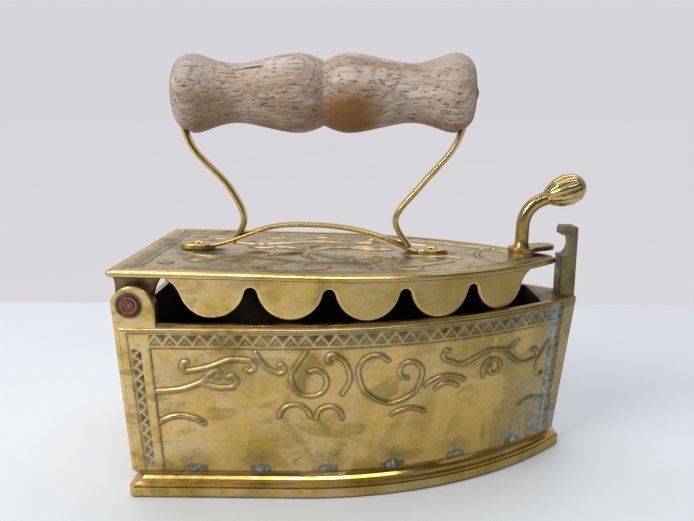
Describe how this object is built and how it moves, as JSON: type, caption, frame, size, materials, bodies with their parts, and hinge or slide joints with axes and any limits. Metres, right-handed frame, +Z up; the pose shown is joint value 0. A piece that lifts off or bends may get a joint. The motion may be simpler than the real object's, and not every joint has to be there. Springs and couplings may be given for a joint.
{
  "type": "charcoal box iron",
  "caption": "Pointed cast-brass box iron for hot charcoal: flared fire box on a thick sole, hinged scalloped lid, turned wooden grip on bent arms, and a turning latch with a bud knob.",
  "frame": {"origin": "middle of the sole's flat underside, which rests on the table", "axes": "+X toward the pointed nose and the latch, +Y to the left of someone who holds the grip and faces the nose, +Z up"},
  "size_m": [0.1897, 0.1048, 0.1704],
  "materials": {
    "cast_brass": "old cast brass with brown patina",
    "worn_brass": "brass rubbed bright by hands",
    "dull_brass": "dull brass with grey-green verdigris",
    "verdigris_brass": "brass gone blue-green",
    "copper": "turned copper rivet, dark red",
    "sooty_iron": "rough cast iron, sooty",
    "rod_iron": "dull iron rod",
    "beech": "bare weathered beech"
  },
  "bodies": {
    "fire_box": {"body_walls": "cast_brass", "sole_plate": "cast_brass", "sole_rivets": "verdigris_brass", "latch_post": "dull_brass", "fire_grate": "sooty_iron", "grate_legs": "sooty_iron", "hinge_pins": "copper", "hinge_washers": "dull_brass"},
    "lid": {"lid_plate": "cast_brass", "hinge_lug_right": "dull_brass", "hinge_lug_left": "dull_brass", "handle_strap": "worn_brass", "rear_arm": "worn_brass", "front_arm": "worn_brass", "rear_foot_spacer": "worn_brass", "front_foot_spacer": "worn_brass", "rear_foot_rivet": "worn_brass", "front_foot_rivet": "worn_brass", "grip": "beech", "grip_rod": "rod_iron", "rear_grip_washer": "worn_brass", "front_grip_washer": "worn_brass", "latch_washer": "worn_brass"},
    "latch": {"latch_tongue": "dull_brass", "latch_stem": "worn_brass", "bud_knob": "worn_brass", "latch_under_washer": "worn_brass"}
  },
  "joints": [
    {"name": "lid_hinge", "type": "hinge", "parent": "fire_box", "child": "lid", "pos_m": [-0.0845, 0, 0.0771], "axis": [0, -1, 0], "range_deg": [0, 95]},
    {"name": "latch_turn", "type": "hinge", "parent": "lid", "child": "latch", "pos_m": [0.06931, 0, 0.08525], "axis": [0.0218, 0, 0.9998], "continuous": true}
  ]
}
